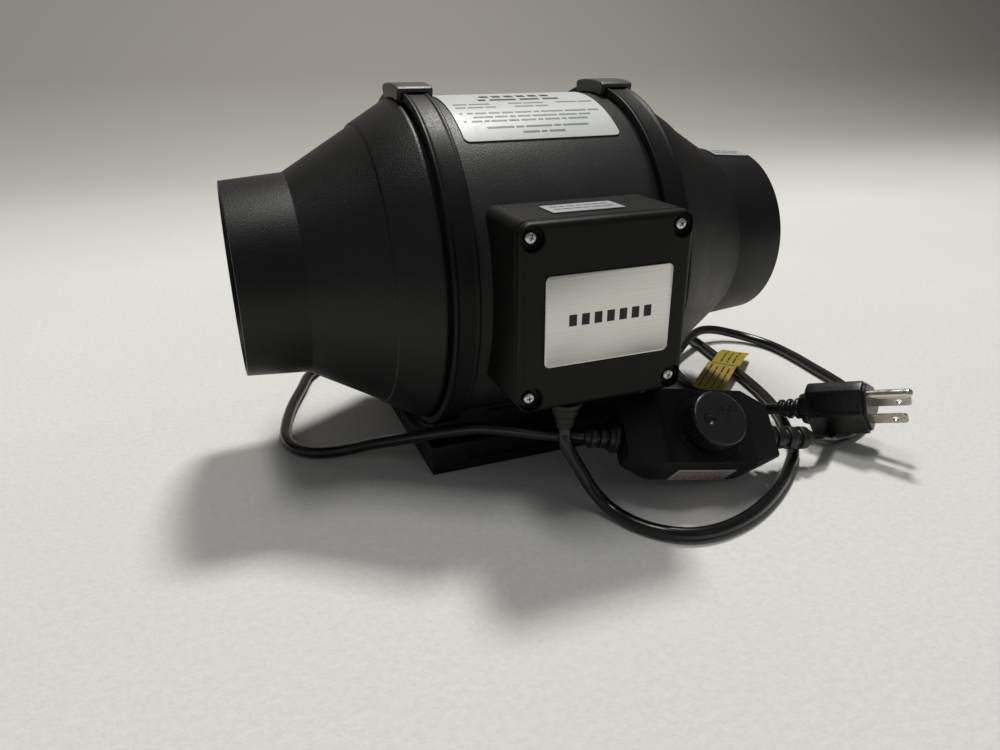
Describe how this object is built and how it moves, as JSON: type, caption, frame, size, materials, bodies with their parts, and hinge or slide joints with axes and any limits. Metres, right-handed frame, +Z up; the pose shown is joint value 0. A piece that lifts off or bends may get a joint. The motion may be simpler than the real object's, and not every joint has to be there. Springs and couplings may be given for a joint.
{
  "type": "inline duct fan",
  "caption": "Inline duct fan with clamped cones, terminal box, mounting base, cord-mounted speed controller, mains plug and warning tag.",
  "frame": {"origin": "middle of the mounting base's underside", "axes": "+X along the fan's axis from the inlet to the outlet, +Z up, the terminal box facing -Y"},
  "size_m": [0.3726, 0.2874, 0.191],
  "materials": {
    "casing": "fine-grain moulded charcoal plastic",
    "black_plastic": "fine-grain moulded black plastic",
    "band": "satin black clamp band",
    "latch_grey": "warm grey latch",
    "rubber": "black seal",
    "steel": "bright zinc-plated steel",
    "nickel": "nickel-plated contacts",
    "copper": "stator windings and laminations in one piece",
    "white_plastic": "terminal block moulding",
    "label_white": "printed label film",
    "label_silver": "brushed silver nameplate",
    "tag_yellow": "yellow tag film",
    "cord": "glossy black cord jacket",
    "board": "circuit board"
  },
  "bodies": {
    "fan_body": {"inlet_cone": "black_plastic", "outlet_cone": "black_plastic", "center_casing": "casing", "inlet_gasket": "rubber", "outlet_gasket": "rubber", "inlet_clamp_band": "band", "outlet_clamp_band": "band", "inlet_latch_pin": "steel", "outlet_latch_pin": "steel", "mounting_base": "black_plastic", "base_screw_inlet": "steel", "base_screw_outlet": "steel", "guide_vanes": "black_plastic", "motor_end_cap": "black_plastic", "motor_cap_screw_1": "steel", "motor_cap_screw_2": "steel", "motor_cap_screw_3": "steel", "front_bearing": "steel", "rear_bearing": "steel", "motor_stator": "copper", "terminal_box": "black_plastic", "box_lid": "black_plastic", "lid_screw_1": "steel", "lid_screw_2": "steel", "lid_screw_3": "steel", "lid_screw_4": "steel", "box_gland": "cord", "terminal_block": "white_plastic", "run_capacitor": "casing", "nameplate": "label_silver", "box_sticker": "label_white", "rating_label": "label_white", "spigot_sticker": "label_white", "controller_upper_housing": "black_plastic", "controller_lower_housing": "black_plastic", "controller_screw_1": "steel", "controller_screw_2": "steel", "potentiometer": "steel", "controller_board": "board", "controller_sticker": "label_white", "controller_inlet_relief": "cord", "controller_outlet_relief": "cord", "plug_body": "black_plastic", "plug_blade_1": "nickel", "plug_blade_2": "nickel", "plug_ground_pin": "nickel", "fan_cord": "cord", "plug_cord": "cord", "warning_tag": "tag_yellow"},
    "rotor": {"impeller": "casing", "impeller_nut": "steel", "motor_shaft": "steel", "motor_rotor": "steel"},
    "knob": {"controller_knob": "black_plastic", "potentiometer_shaft": "nickel"},
    "inlet_latch_body": {"inlet_latch": "latch_grey"},
    "outlet_latch_body": {"outlet_latch": "latch_grey"}
  },
  "joints": [
    {"name": "impeller_spin", "type": "hinge", "parent": "fan_body", "child": "rotor", "pos_m": [0, 0, 0.1], "axis": [1, 0, 0], "continuous": true},
    {"name": "speed_knob_turn", "type": "hinge", "parent": "fan_body", "child": "knob", "pos_m": [0.05537, -0.12206, 0.03591], "axis": [-0.0294, 0.6631, -0.748], "range_deg": [0, 290]},
    {"name": "inlet_latch_open", "type": "hinge", "parent": "fan_body", "child": "inlet_latch_body", "pos_m": [-0.0551, 0.01561, 0.18853], "axis": [-1, 0, 0], "range_deg": [0, 100]},
    {"name": "outlet_latch_open", "type": "hinge", "parent": "fan_body", "child": "outlet_latch_body", "pos_m": [0.0551, 0.01561, 0.18853], "axis": [-1, 0, 0], "range_deg": [0, 100]}
  ]
}
